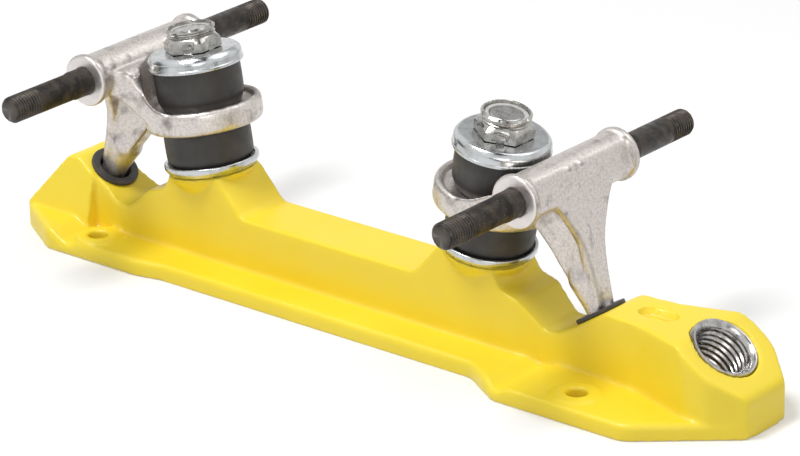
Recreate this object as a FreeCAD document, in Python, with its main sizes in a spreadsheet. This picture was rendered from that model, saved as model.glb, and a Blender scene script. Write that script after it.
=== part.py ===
import FreeCAD, Part
import math
import os
import re
import Sketcher
from FreeCAD import Placement, Rotation, Vector

# Roller skate plate lying on its sole, toe towards +X, trucks up.
# The origin is at the middle of the sole, in millimetres.
# Each truck is modelled in its own frame, whose origin is where the kingpin axis meets the sole
# and whose +X points outboard, from the kingpin towards the axle. "Along the kingpin" means
# measured from that origin along the tilted kingpin axis.

doc = FreeCAD.newDocument("skate_plate")

sizes = {
    # moulded base, seen from above; "back" is a distance in from the nearer end
    "toe_reach": 133.8,
    "heel_reach": 133.8,
    "toe_end_half": 8.9,
    "toe_taper_long": 26.9,
    "toe_half": 30.8,
    "step_outer_back": 72.0,
    "step_inner_back": 86.4,
    "waist_half": 22.2,
    "heel_flare_back": 65.2,
    "heel_wide_back": 54.2,
    "heel_half": 24.5,
    "heel_taper_long": 19.5,
    "heel_end_half": 12.5,
    "outline_round": 7.0,
    "flange_thick": 5.0,
    "flange_edge_round": 1.6,
    # heel ledge and the shallow grooves that cross the flange below the axles
    "ledge_top": 7.0,
    "ledge_long": 20.3,
    "heel_groove_back": 27.3,
    "toe_groove_back": 71.3,
    "groove_half": 5.0,
    "groove_depth": 1.9,
    "groove_round": 4.0,
    # spine and blocks
    "spine_half": 10.0,
    "spine_top": 20.8,
    "spine_round": 8.0,
    "wall_setback": 0.3,
    "scoop_half": 8.3,
    "heel_block_half": 12.2,
    "heel_top_half": 8.2,
    "heel_block_long": 25.3,
    "toe_block_half": 16.6,
    "toe_block_back": 16.3,
    "toe_flare_back": 36.8,
    "toe_top": 24.8,
    "heel_top": 24.5,
    "heel_facet_long": 14.8,
    "crest_round": 4.0,
    # trucks
    "front_kingpin_back": 102.2,
    "rear_kingpin_back": 71.4,
    "kingpin_tilt": 9.75,
    "axle_set": 33.5,
    "axle_height": 57.8,
    # kingpin boss, along the kingpin
    "boss_seat": 30.2,
    "boss_radius": 13.6,
    "boss_neck": 10.0,
    "boss_flare": 5.2,
    "ramp_foot": 14.3,
    "ramp_head": 4.8,
    "ledge_in": 17.0,
    "ledge_in_top": 22.8,
    "ledge_out": 23.0,
    "ledge_out_top": 21.2,
    "valley_in": 31.5,
    "valley_floor": 14.0,
    # pivot
    "pivot_lean": 32.3,
    "pivot_u": 45.0,
    "pivot_top": 21.0,
    "cup_flange_radius": 7.5,
    "cup_flange_thick": 1.2,
    "cup_radius": 6.0,
    "cup_depth": 10.0,
    "ball_radius": 4.4,
    "ball_depth": 4.5,
    "ball_play": 0.3,
    "stem_radius": 3.9,
    "stem_length": 11.0,
    "cup_mouth_radius": 4.9,
    # kingpin
    "kingpin_radius": 5.0,
    "kingpin_head_start": 3.0,
    "kingpin_head_high": 6.4,
    "kingpin_head_flats": 16.0,
    "kingpin_recess": 0.8,
    "slip_fit": 0.1,
    "press_gap": 0.02,
    "soft_gap": 0.3,
    # cushions and washers, along the kingpin
    "lower_washer_radius": 14.3,
    "lower_washer_foot": 13.4,
    "lower_washer_high": 3.3,
    "washer_thick": 1.2,
    "cushion_radius": 12.8,
    "cushion_chamfer": 1.3,
    "lower_cushion_long": 14.8,
    "upper_cushion_long": 16.3,
    "ring_skirt": 2.2,
    "ring_high": 7.5,
    "ring_radius": 17.7,
    "ring_bore": 15.3,
    "ring_round": 1.2,
    "seat_thick": 3.2,
    "seat_hole": 6.6,
    "upper_washer_radius": 14.3,
    "upper_washer_crown": 12.8,
    "upper_washer_lip": 4.6,
    "upper_washer_band": 2.0,
    # lock nut
    "nut_flats": 15.2,
    "nut_hex_high": 4.0,
    "nut_collar_radius": 7.3,
    "nut_high": 7.1,
    "nut_lip": 0.9,
    "nut_ring_high": 1.8,
    "nut_ring_radius": 6.4,
    # hanger
    "hanger_width": 48.0,
    "bar_radius": 7.0,
    "collar_radius": 7.7,
    "collar_long": 4.5,
    "web_lean": 14.0,
    "web_offset": 5.6,
    "web_thick": 3.2,
    "web_top_half": 19.8,
    "web_curve": 38.5,
    "web_curve_down": 29.0,
    "web_foot_half": 3.1,
    "web_foot_down": 37.0,
    "web_head_up": 3.6,
    "gusset_half": 3.1,
    "gusset_foot_u": 40.6,
    "gusset_foot_z": 22.4,
    "gusset_head_u": 23.4,
    "gusset_head_z": 42.2,
    "arm_half": 18.0,
    "arm_thick": 3.0,
    "arm_top_u": 24.0,
    "arm_top_z": 61.4,
    "arm_foot_u": 12.2,
    "arm_foot_z": 51.8,
    "arm_end_u": 7.5,
    "arm_round": 4.0,
    "steer_clear": 3.0,
    # axle
    "axle_radius": 4.0,
    "axle_length": 111.0,
    "axle_shoulder_radius": 4.5,
    "axle_shoulder_long": 5.5,
    "axle_end_chamfer": 0.7,
    # toe stop bush
    "toe_lean": 34.5,
    "toe_face_back": 14.2,
    "toe_face_z": 21.0,
    "insert_radius": 10.3,
    "insert_bore": 7.94,
    "insert_mouth": 9.2,
    "insert_depth": 15.5,
    # mounting holes
    "front_hole_back": 48.9,
    "front_hole_y": 21.5,
    "rear_hole_back": 33.7,
    "rear_hole_y": 16.7,
    "hole_radius": 3.0,
    "hole_ring_radius": 6.8,
    "hole_ring_high": 0.8,
    # recess on the toe block and pockets in the sole
    "dimple_back": 36.8,
    "dimple_long": 10.5,
    "dimple_wide": 7.0,
    "dimple_depth": 2.2,
    "core_gap": 20.4,
    "core_long": 15.0,
    "core_rib": 3.0,
    "core_half": 6.5,
    "core_roof": 4.6,
}

sheet = doc.addObject("Spreadsheet::Sheet", "sizes")
for row, (alias, size) in enumerate(sizes.items(), start=1):
    sheet.set("A%d" % row, alias)
    sheet.set("B%d" % row, str(size))
    sheet.setAlias("B%d" % row, alias)
doc.recompute()

flangeClear = sizes["ledge_top"] + 0.5
coreCount = 3

# Places worked out from the sizes: along the plate, set back from its two ends, and along the
# kingpin, where each piece rests on the last.
places = {
    "toe_corner_x": "toe_reach - toe_taper_long",
    "step_outer_x": "toe_reach - step_outer_back",
    "step_inner_x": "toe_reach - step_inner_back",
    "toe_groove_x": "toe_reach - toe_groove_back",
    "toe_block_x": "toe_reach - toe_block_back",
    "toe_flare_x": "toe_reach - toe_flare_back",
    "toe_face_x": "toe_reach - toe_face_back",
    "dimple_x": "toe_reach - dimple_back",
    "front_hole_x": "toe_reach - front_hole_back",
    "front_kingpin_x": "toe_reach - front_kingpin_back",
    "heel_flare_x": "heel_flare_back - heel_reach",
    "heel_wide_x": "heel_wide_back - heel_reach",
    "heel_corner_x": "heel_taper_long - heel_reach",
    "ledge_end_x": "ledge_long - heel_reach",
    "heel_groove_x": "heel_groove_back - heel_reach",
    "heel_groove_end_x": "heel_groove_x + groove_half",
    "heel_block_end_x": "heel_block_long - heel_reach",
    "heel_top_x": "heel_facet_long - heel_reach",
    "rear_hole_x": "rear_hole_back - heel_reach",
    "rear_kingpin_x": "rear_kingpin_back - heel_reach",
    "core_start_x": "rear_kingpin_x + core_gap",
    "seat_bottom": "boss_seat + washer_thick + lower_cushion_long",
    "ring_bottom": "seat_bottom - ring_skirt",
    "upper_washer_top": "seat_bottom + seat_thick + upper_cushion_long + washer_thick",
    "upper_washer_rim": "upper_washer_top - upper_washer_lip",
    "nut_top": "upper_washer_top + nut_high",
    "kingpin_end": "nut_top - kingpin_recess",
}
placePattern = re.compile(r"\b(%s)\b" % "|".join(places))
sizePattern = re.compile(r"\b(%s)\b" % "|".join(sizes))


def bound(text):
    """Expression text with each place worked out and each size name pointed at the sheet."""
    while placePattern.search(text):
        text = placePattern.sub(lambda found: "(%s)" % places[found.group(1)], text)
    return sizePattern.sub(r"sizes.\1", text)


def tie(item, **expressions):
    """Binds properties to the sheet; a double underscore stands for a dot."""
    for name, text in expressions.items():
        item.setExpression(name.replace("__", "."), bound(text))


# Sketch helpers

def placePoint(sketch, line, end, across, up):
    """Pins one end of a line by its two coordinates, given as expressions."""
    for kind, text, axis in (("DistanceX", across, -2), ("DistanceY", up, -1)):
        if text == "0":
            sketch.addConstraint(Sketcher.Constraint("PointOnObject", line, end, axis))
        else:
            index = sketch.addConstraint(Sketcher.Constraint(kind, -1, 1, line, end, 1.0 + line))
            sketch.setExpression("Constraints[%d]" % index, bound(text))


def drawPolygon(sketch, points):
    """Closed outline through the points, each pinned by expressions."""
    count = len(points)
    ring = [Vector(50 * math.cos(2 * math.pi * k / count), 50 * math.sin(2 * math.pi * k / count), 0)
            for k in range(count)]
    for k in range(count):
        sketch.addGeometry(Part.LineSegment(ring[k], ring[(k + 1) % count]), False)
    for k in range(count):
        sketch.addConstraint(Sketcher.Constraint("Coincident", k, 2, (k + 1) % count, 1))
    for k, (across, up) in enumerate(points):
        placePoint(sketch, k, 1, across, up)


def drawCircle(sketch, across, up, radius):
    circle = sketch.addGeometry(Part.Circle(Vector(3, 4, 0), Vector(0, 0, 1), 2.0), False)
    placePoint(sketch, circle, 3, across, up)
    index = sketch.addConstraint(Sketcher.Constraint("Radius", circle, 2.0))
    sketch.setExpression("Constraints[%d]" % index, bound(radius))


def hexagon(flats):
    """Corner expressions of a hexagon, given the expression of its width across flats."""
    return [("(%s) / sqrt(3) * cos(%d deg)" % (flats, 60 * k),
             "(%s) / sqrt(3) * sin(%d deg)" % (flats, 60 * k)) for k in range(6)]


def mirroredUp(half):
    """A closed outline from the points on the right of the vertical axis."""
    return half + [("-(%s)" % across, up) for across, up in reversed(half)]


def mirrored(half):
    """A closed outline from the points on one side of the X axis."""
    return half + [(across, "-(%s)" % up) for across, up in reversed(half)]


def bodySketch(body, name, role):
    """A sketch on one of the body's own origin planes."""
    sketch = body.newObject("Sketcher::SketchObject", name)
    plane = next(item for item in body.Origin.OriginFeatures if item.Role == role)
    sketch.AttachmentSupport = (plane, [""])
    sketch.MapMode = "FlatFace"
    return sketch


def leanedSketch(body, name, across, up, lean):
    """A sketch on the XZ plane whose vertical axis leans towards +X by an angle."""
    sketch = bodySketch(body, name, "XZ_Plane")
    sketch.AttachmentOffset = Placement(Vector(0, 0, 0), Rotation(Vector(0, 0, 1), -1))
    tie(sketch, AttachmentOffset__Base__x=across, AttachmentOffset__Base__y=up,
        AttachmentOffset__Rotation__Angle="-(%s)" % lean)
    return sketch


def newBody(label):
    body = doc.addObject("PartDesign::Body", label)
    body.Label = label
    return body


def pad(body, sketch, length):
    feature = body.newObject("PartDesign::Pad", sketch.Name + "_pad")
    feature.Profile = sketch
    tie(feature, Length=length)
    return feature


def pocketThrough(body, sketch):
    """Cuts the outline from side to side, both ways from the sketch plane."""
    feature = body.newObject("PartDesign::Pocket", sketch.Name + "_cut")
    feature.Profile = sketch
    feature.SideType = "Symmetric"
    feature.Type = "ThroughAll"
    return feature


def revolve(body, sketch, kind="Revolution"):
    feature = body.newObject("PartDesign::" + kind, sketch.Name + "_turn")
    feature.Profile = sketch
    feature.ReferenceAxis = (sketch, ["V_Axis"])
    feature.Angle = 360.0
    return feature


def middle(edge):
    return edge.valueAt((edge.FirstParameter + edge.LastParameter) / 2)


def normalsAt(shape, edge):
    """Outward normals of the faces that meet at the middle of an edge."""
    point = middle(edge)
    return [face.normalAt(*face.Surface.parameter(point))
            for face in shape.ancestorsOfType(edge, Part.Face)]


def roundEdges(body, name, base, wanted, radius):
    """Fillets the edges of the base feature that pass the test on edge and neighbour normals."""
    doc.recompute()
    shape = base.Shape
    edges = ["Edge%d" % (k + 1) for k, edge in enumerate(shape.Edges)
             if wanted(edge, normalsAt(shape, edge))]
    feature = body.newObject("PartDesign::Fillet", name)
    feature.Base = (base, edges)
    tie(feature, Radius=radius)
    return feature


def runsAlong(edge, direction):
    """True for a straight edge parallel to the direction."""
    if edge.Curve.TypeId != "Part::GeomLine":
        return False
    return abs(edge.tangentAt(edge.FirstParameter).dot(direction)) > 0.9999


# Where the outline points of the base lie

def truckPoint(end, u, z):
    """A point of a truck's side view, moved to the base's own frame."""
    if end == "front":
        return ("front_kingpin_x + (%s)" % u, z)
    return ("rear_kingpin_x - (%s)" % u, z)


def seatHeight(u):
    """Height of the tilted boss seat at a distance outboard of the kingpin's foot."""
    return "boss_seat / cos(kingpin_tilt * 1 deg) - (%s) * tan(kingpin_tilt * 1 deg)" % u


def pivotHeight(u):
    """Height of the inclined pivot face, which lies one flange thickness below the cup's top."""
    return ("pivot_top - cup_flange_thick / cos(pivot_lean * 1 deg)"
            " + ((%s) - pivot_u) * tan(pivot_lean * 1 deg)" % u)


def pivotReach(z):
    """Distance outboard at which the inclined pivot face reaches a height."""
    return ("pivot_u + ((%s) - pivot_top + cup_flange_thick / cos(pivot_lean * 1 deg))"
            " / tan(pivot_lean * 1 deg)" % z)


def toeFaceHeight(x):
    return "toe_face_z - ((%s) - toe_face_x) * tan(toe_lean * 1 deg)" % x


def webFront(z, back="0"):
    """Distance outboard of the web's leaning front plane at a height, less a depth behind it."""
    return ("axle_set + (web_offset - (%s)) / cos(web_lean * 1 deg)"
            " + (axle_height - (%s)) * tan(web_lean * 1 deg)" % (back, z))


def placeLeaning(item, offset):
    """Moves a piece drawn on the web's plane to its offset in front of the axle."""
    item.Placement = Placement(Vector(0, 0, 0), Rotation(Vector(0, 1, 0), 1))
    tie(item, Placement__Rotation__Angle="-web_lean",
        Placement__Base__x="axle_set + (%s) * cos(web_lean * 1 deg)" % offset,
        Placement__Base__z="axle_height + (%s) * sin(web_lean * 1 deg)" % offset)


def bossProfile(end):
    """Crest of the spine from the foot of the ramp, over the kingpin boss, to the valley."""
    return [truckPoint(end, "-ramp_foot", "spine_top"),
            truckPoint(end, "-ramp_head", seatHeight("-ramp_head")),
            truckPoint(end, "boss_radius", seatHeight("boss_radius")),
            truckPoint(end, "ledge_in", "ledge_in_top"),
            truckPoint(end, "ledge_out", "ledge_out_top"),
            truckPoint(end, "valley_in", "valley_floor"),
            truckPoint(end, pivotReach("valley_floor"), "valley_floor")]


def makeBase():
    body = newBody("base_plate")

    # flange with its ledge and grooves
    outline = bodySketch(body, "outline", "XY_Plane")
    drawPolygon(outline, mirrored([
        ("-heel_reach", "heel_end_half"), ("heel_corner_x", "heel_half"),
        ("heel_wide_x", "heel_half"), ("heel_flare_x", "waist_half"),
        ("step_inner_x", "waist_half"), ("step_outer_x", "toe_half"),
        ("toe_corner_x", "toe_half"), ("toe_reach", "toe_end_half")]))
    flange = pad(body, outline, "ledge_top")
    corners = roundEdges(body, "outline_rounds", flange,
                         lambda edge, normals: runsAlong(edge, Vector(0, 0, 1)), "outline_round")

    relief = bodySketch(body, "flange_relief", "XZ_Plane")
    above = "ledge_top + flange_thick"
    grooveFloor = "flange_thick - groove_depth"
    drawPolygon(relief, [
        ("ledge_end_x", "ledge_top"), ("heel_groove_x", grooveFloor),
        ("heel_groove_end_x", "flange_thick"),
        ("toe_groove_x - groove_half", "flange_thick"), ("toe_groove_x", grooveFloor),
        ("toe_groove_x + groove_half", "flange_thick"), ("toe_reach * 2", "flange_thick"),
        ("toe_reach * 2", above), ("ledge_end_x", above)])
    relieved = pocketThrough(body, relief)
    softened = roundEdges(body, "groove_rounds", relieved,
                          lambda edge, normals: middle(edge).z > 1
                          and all(normal.z > 0.5 for normal in normals), "groove_round")
    roundEdges(body, "rim_round", softened,
               lambda edge, normals: middle(edge).z > 1
               and sorted(normal.z > 0.5 for normal in normals) == [False, True],
               "flange_edge_round")

    # spine, heel block and toe block, drawn from above and then cut to the crest line
    plan = bodySketch(body, "spine_plan", "XY_Plane")
    drawPolygon(plan, mirrored([
        ("heel_block_end_x - spine_half", "scoop_half"), ("heel_groove_x + groove_half / 2", "scoop_half"),
        ("heel_groove_end_x + groove_half", "spine_half"),
        ("toe_groove_x - groove_half * 1.6", "spine_half"), ("toe_groove_x - 1", "scoop_half"),
        ("toe_groove_x + groove_half * 4", "scoop_half + 0.6"), ("toe_flare_x", "spine_half"),
        ("toe_block_x", "toe_block_half"),
        ("toe_corner_x + (toe_reach - toe_corner_x) * 0.65",
         "toe_half - (toe_half - toe_end_half) * 0.65 - wall_setback * 1.3"),
        ("toe_reach - wall_setback", "toe_end_half")]))
    spine = pad(body, plan, "toe_top * 1.4")
    roundEdges(body, "spine_rounds", spine,
               lambda edge, normals: runsAlong(edge, Vector(0, 0, 1))
               and middle(edge).z > flangeClear and middle(edge).x < sizes["toe_reach"] - 1,
               "spine_round")

    heel = bodySketch(body, "heel_plan", "XY_Plane")
    drawPolygon(heel, mirrored([("-heel_reach + wall_setback", "heel_block_half"),
                                ("heel_block_end_x", "heel_block_half")]))
    pad(body, heel, "toe_top * 1.4")
    for side in ("1", "-1"):
        slope = bodySketch(body, "heel_slope_" + ("left" if side == "1" else "right"), "YZ_Plane")
        tie(slope, AttachmentOffset__Base__z="heel_block_end_x")
        rise = "(heel_block_half - heel_top_half) / (heel_top - ledge_top)"
        drawPolygon(slope, [
            (side + " * heel_block_half", "ledge_top"),
            ("%s * (heel_block_half - (toe_top * 2 - ledge_top) * %s)" % (side, rise), "toe_top * 2"),
            (side + " * heel_block_half * 2", "toe_top * 2"),
            (side + " * heel_block_half * 2", "ledge_top")])
        shave = body.newObject("PartDesign::Pocket", slope.Name + "_cut")
        shave.Profile = slope
        shave.Type = "ThroughAll"

    crest = bodySketch(body, "crest", "XZ_Plane")
    sky = "toe_top * 2"
    drawPolygon(crest, [("-heel_reach * 2", "ledge_top"), ("-heel_reach", "ledge_top"),
                        ("heel_top_x", "heel_top"), truckPoint("rear", pivotReach("heel_top"), "heel_top")]
                + bossProfile("rear")[::-1] + bossProfile("front")
                + [truckPoint("front", pivotReach("toe_top"), "toe_top"),
                   ("toe_face_x + (toe_face_z - toe_top) / tan(toe_lean * 1 deg)", "toe_top"),
                   ("toe_reach * 2", toeFaceHeight("toe_reach * 2")),
                   ("toe_reach * 2", sky), ("-heel_reach * 2", sky)])
    crested = pocketThrough(body, crest)
    roundEdges(body, "crest_rounds", crested,
               lambda edge, normals: middle(edge).z > flangeClear
               and runsAlong(edge, Vector(0, 1, 0)), "crest_round")

    # kingpin bosses: a cone that opens upwards to the washer seat
    for end, side in (("front", "1"), ("rear", "-1")):
        boss = leanedSketch(body, end + "_boss", end + "_kingpin_x", "0", side + " * kingpin_tilt")
        drawPolygon(boss, [("0", "flange_thick"), ("boss_neck", "flange_thick"),
                           ("boss_neck", "boss_seat - boss_flare"), ("boss_radius", "boss_seat"),
                           ("0", "boss_seat")])
        revolve(body, boss)

    # raised rings round the mounting holes, then the holes
    holes = [("front_hole_x", "front_hole_y"), ("front_hole_x", "-front_hole_y"),
             ("rear_hole_x", "rear_hole_y"), ("rear_hole_x", "-rear_hole_y")]
    rings = bodySketch(body, "hole_rings", "XY_Plane")
    for across, up in holes:
        drawCircle(rings, across, up, "hole_ring_radius")
    pad(body, rings, "flange_thick + hole_ring_high")
    bores = bodySketch(body, "holes", "XY_Plane")
    for across, up in holes:
        drawCircle(bores, across, up, "hole_radius")
    pocketThrough(body, bores)

    # kingpin bores and the pivot sockets, turned about their leaning axes
    for end, side in (("front", "1"), ("rear", "-1")):
        bore = leanedSketch(body, end + "_kingpin_bore", end + "_kingpin_x", "0",
                            side + " * kingpin_tilt")
        drawPolygon(bore, [("0", "0"), ("kingpin_radius + slip_fit", "0"),
                           ("kingpin_radius + slip_fit", "boss_seat + boss_flare"),
                           ("0", "boss_seat + boss_flare")])
        revolve(body, bore, "Groove")
        socket = leanedSketch(body, end + "_socket", pivotX(end), "pivot_top",
                              "-(%s) * pivot_lean" % side)
        drawPolygon(socket, [("0", "-cup_flange_thick - cup_depth - press_gap"),
                             ("cup_radius + press_gap", "-cup_flange_thick - cup_depth - press_gap"),
                             ("cup_radius + press_gap", "-cup_flange_thick"),
                             ("cup_flange_radius * 1.5", "-cup_flange_thick"),
                             ("cup_flange_radius * 1.5", "cup_flange_thick"),
                             ("0", "cup_flange_thick")])
        revolve(body, socket, "Groove")
        head = bodySketch(body, end + "_head_recess", "XY_Plane")
        head.AttachmentOffset = Placement(Vector(0, 0, 0), Rotation(Vector(0, 1, 0), 1))
        depth = "kingpin_head_start + kingpin_head_high + press_gap"
        tie(head, AttachmentOffset__Rotation__Angle=side + " * kingpin_tilt",
            AttachmentOffset__Base__x="%s_kingpin_x + %s * (%s) * sin(kingpin_tilt * 1 deg)"
            % (end, side, depth),
            AttachmentOffset__Base__z="(%s) * cos(kingpin_tilt * 1 deg)" % depth)
        drawPolygon(head, hexagon("kingpin_head_flats + 2 * slip_fit"))
        recess = body.newObject("PartDesign::Pocket", end + "_head_cut")
        recess.Profile = head
        recess.Type = "ThroughAll"

    # toe stop bush socket
    toe = leanedSketch(body, "toe_socket", "toe_face_x", "toe_face_z", "toe_lean")
    drawPolygon(toe, [("0", "-insert_depth - press_gap"),
                      ("insert_radius + press_gap", "-insert_depth - press_gap"),
                      ("insert_radius + press_gap", "insert_radius"), ("0", "insert_radius")])
    revolve(body, toe, "Groove")

    # oblong recess on the flat of the toe block
    dimple = body.newObject("PartDesign::SubtractiveEllipsoid", "dimple")
    tie(dimple, Radius1="dimple_depth", Radius2="dimple_long / 2", Radius3="dimple_wide / 2",
        Placement__Base__x="dimple_x", Placement__Base__z="toe_top")

    # row of core pockets in the sole, under the spine
    core = bodySketch(body, "core", "XY_Plane")
    drawPolygon(core, mirrored([("core_start_x", "core_half"),
                                ("core_start_x + core_long", "core_half")]))
    hollow = body.newObject("PartDesign::Pocket", "core_cut")
    hollow.Profile = core
    hollow.Reversed = True
    tie(hollow, Length="spine_top - core_roof")
    doc.recompute()
    row = body.newObject("PartDesign::LinearPattern", "core_row")
    row.Originals = [hollow]
    row.Direction = (core, ["H_Axis"])
    row.Occurrences = coreCount
    tie(row, Length="(core_long + core_rib) * %d" % (coreCount - 1))
    body.Tip = row
    return body


def turnedBody(label, profile, place):
    """A turned piece; the profile is given as radius and height along its own axis."""
    body = newBody(label)
    sketch = bodySketch(body, label + "_profile", "XZ_Plane")
    drawPolygon(sketch, profile)
    revolve(body, sketch)
    lean(body, *place)
    return body


def lean(item, across, up, angle, shift="0"):
    """Stands an item on a leaning axis, shifted along that axis."""
    item.Placement = Placement(Vector(0, 0, 0), Rotation(Vector(0, 1, 0), 1))
    tie(item, Placement__Rotation__Angle=angle,
        Placement__Base__x="(%s) + (%s) * sin((%s) * 1 deg)" % (across, shift, angle),
        Placement__Base__z="(%s) + (%s) * cos((%s) * 1 deg)" % (up, shift, angle))


def solid(kind, name, **expressions):
    item = doc.addObject("Part::" + kind, name)
    tie(item, **expressions)
    return item


def combine(kind, name, first, *rest):
    """Boolean of two shapes (Cut) or of many (MultiFuse, MultiCommon)."""
    item = doc.addObject("Part::" + kind, name)
    if kind == "Cut":
        item.Base, item.Tool = first, rest[0]
    else:
        item.Shapes = [first, *rest]
    return item


def freeSketch(name, rotation):
    sketch = doc.addObject("Sketcher::SketchObject", name)
    sketch.Placement = Placement(Vector(0, 0, 0), rotation)
    return sketch


def extrude(sketch, length, symmetric=False):
    item = doc.addObject("Part::Extrusion", sketch.Name + "_solid")
    item.Base = sketch
    item.DirMode = "Normal"
    item.Solid = True
    item.Symmetric = symmetric
    tie(item, LengthFwd=length)
    return item


sideView = Rotation(Vector(1, 0, 0), 90)


def makeStack(end, side):
    """Washers, cushions, kingpin, nut and its locking ring on one kingpin."""
    place = (end + "_kingpin_x", "0", side + " * kingpin_tilt")
    turnedBody(end + "_lower_washer", [
        ("kingpin_radius + slip_fit", "boss_seat"), ("lower_washer_foot", "boss_seat"),
        ("lower_washer_radius", "boss_seat + lower_washer_high"),
        ("lower_washer_radius - washer_thick", "boss_seat + lower_washer_high"),
        ("lower_washer_foot - washer_thick", "boss_seat + washer_thick"),
        ("kingpin_radius + slip_fit", "boss_seat + washer_thick")], place)
    inner = "kingpin_radius + soft_gap"
    lowerFoot, lowerHead = "boss_seat + washer_thick", "seat_bottom"
    cushion(end + "_lower_cushion", inner, lowerFoot, lowerHead, place)
    upperFoot, upperHead = "seat_bottom + seat_thick", "upper_washer_top - washer_thick"
    cushion(end + "_upper_cushion", inner, upperFoot, upperHead, place)
    turnedBody(end + "_upper_washer", [
        ("kingpin_radius + slip_fit", "upper_washer_top - washer_thick"),
        ("upper_washer_crown - washer_thick / 2", "upper_washer_top - washer_thick"),
        ("upper_washer_radius - washer_thick", "upper_washer_rim + upper_washer_band - washer_thick / 2"),
        ("upper_washer_radius - washer_thick", "upper_washer_rim"),
        ("upper_washer_radius", "upper_washer_rim"),
        ("upper_washer_radius", "upper_washer_rim + upper_washer_band"),
        ("upper_washer_crown", "upper_washer_top"),
        ("kingpin_radius + slip_fit", "upper_washer_top")], place)

    # kingpin: hexagon head in the sole, plain shank
    shank = solid("Cylinder", end + "_shank", Radius="kingpin_radius",
                  Height="kingpin_end - kingpin_head_start - kingpin_head_high / 2")
    lean(shank, *place, shift="kingpin_head_start + kingpin_head_high / 2")
    head = solid("Prism", end + "_kingpin_head", Circumradius="kingpin_head_flats / sqrt(3)",
                 Height="kingpin_head_high")
    head.Polygon = 6
    head.Placement = Placement(Vector(0, 0, 0), Rotation(Vector(0, 1, 0), 1))
    lean(head, *place, shift="kingpin_head_start")
    kingpin = combine("MultiFuse", end + "_kingpin", shank, head)
    kingpin.Label = end + "_kingpin"

    # lock nut: hexagon with a turned collar, bored for the kingpin and its locking ring
    hexSolid = solid("Prism", end + "_nut_hex", Circumradius="nut_flats / sqrt(3)",
                     Height="nut_hex_high")
    hexSolid.Polygon = 6
    lean(hexSolid, *place, shift="upper_washer_top")
    crown = solid("Cone", end + "_nut_crown", Radius1="nut_flats / sqrt(3) + nut_hex_high / 2",
                  Radius2="nut_flats / 2 - nut_hex_high * 0.02", Height="nut_hex_high")
    lean(crown, *place, shift="upper_washer_top")
    beveled = combine("MultiCommon", end + "_nut_bevel", hexSolid, crown)
    collar = solid("Cylinder", end + "_nut_collar", Radius="nut_collar_radius",
                   Height="nut_top - upper_washer_top")
    lean(collar, *place, shift="upper_washer_top")
    outer = combine("MultiFuse", end + "_nut_outer", beveled, collar)
    bore = solid("Cylinder", end + "_nut_bore", Radius="kingpin_radius + press_gap",
                 Height="nut_top")
    lean(bore, *place, shift="upper_washer_rim")
    seat = solid("Cylinder", end + "_nut_seat", Radius="nut_ring_radius + press_gap",
                 Height="nut_ring_high + press_gap * 2")
    lean(seat, *place, shift="nut_top - nut_lip - nut_ring_high - press_gap")
    cavity = combine("MultiFuse", end + "_nut_cavity", bore, seat)
    nut = combine("Cut", end + "_lock_nut", outer, cavity)
    nut.Label = end + "_lock_nut"
    turnedBody(end + "_nut_ring", [
        ("kingpin_radius + press_gap", "nut_top - nut_lip - nut_ring_high"),
        ("nut_ring_radius", "nut_top - nut_lip - nut_ring_high"),
        ("nut_ring_radius", "nut_top - nut_lip"),
        ("kingpin_radius + press_gap", "nut_top - nut_lip")], place)


def cushion(label, inner, foot, head, place):
    """Rubber cushion with chamfered rims between two heights along the kingpin."""
    turnedBody(label, [
        (inner, foot), ("cushion_radius - cushion_chamfer", foot),
        ("cushion_radius", "(%s) + cushion_chamfer * 2" % foot),
        ("cushion_radius", "(%s) - cushion_chamfer * 2" % head),
        ("cushion_radius - cushion_chamfer", head), (inner, head)], place)


def makeCup(end, side):
    """Flanged rubber cup with a round-bottomed cavity for the pivot ball."""
    label = end + "_pivot_cup"
    cavity = "ball_radius + ball_play"
    turnedBody(label, [
        ("0", "-cup_flange_thick - cup_depth"), ("cup_radius", "-cup_flange_thick - cup_depth"),
        ("cup_radius", "-cup_flange_thick"), ("cup_flange_radius", "-cup_flange_thick"),
        ("cup_flange_radius", "0"), ("cup_mouth_radius", "0"),
        ("cup_mouth_radius", "-ball_depth"),
        (cavity, "-ball_depth - (%s) * 0.35" % cavity),
        ("(%s) * 0.72" % cavity, "-ball_depth - (%s) * 0.78" % cavity),
        ("0", "-ball_depth - (%s)" % cavity)], (pivotX(end), "pivot_top", "-(%s) * pivot_lean" % side))


def pivotX(end):
    return truckPoint(end, "pivot_u", "0")[0]


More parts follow.
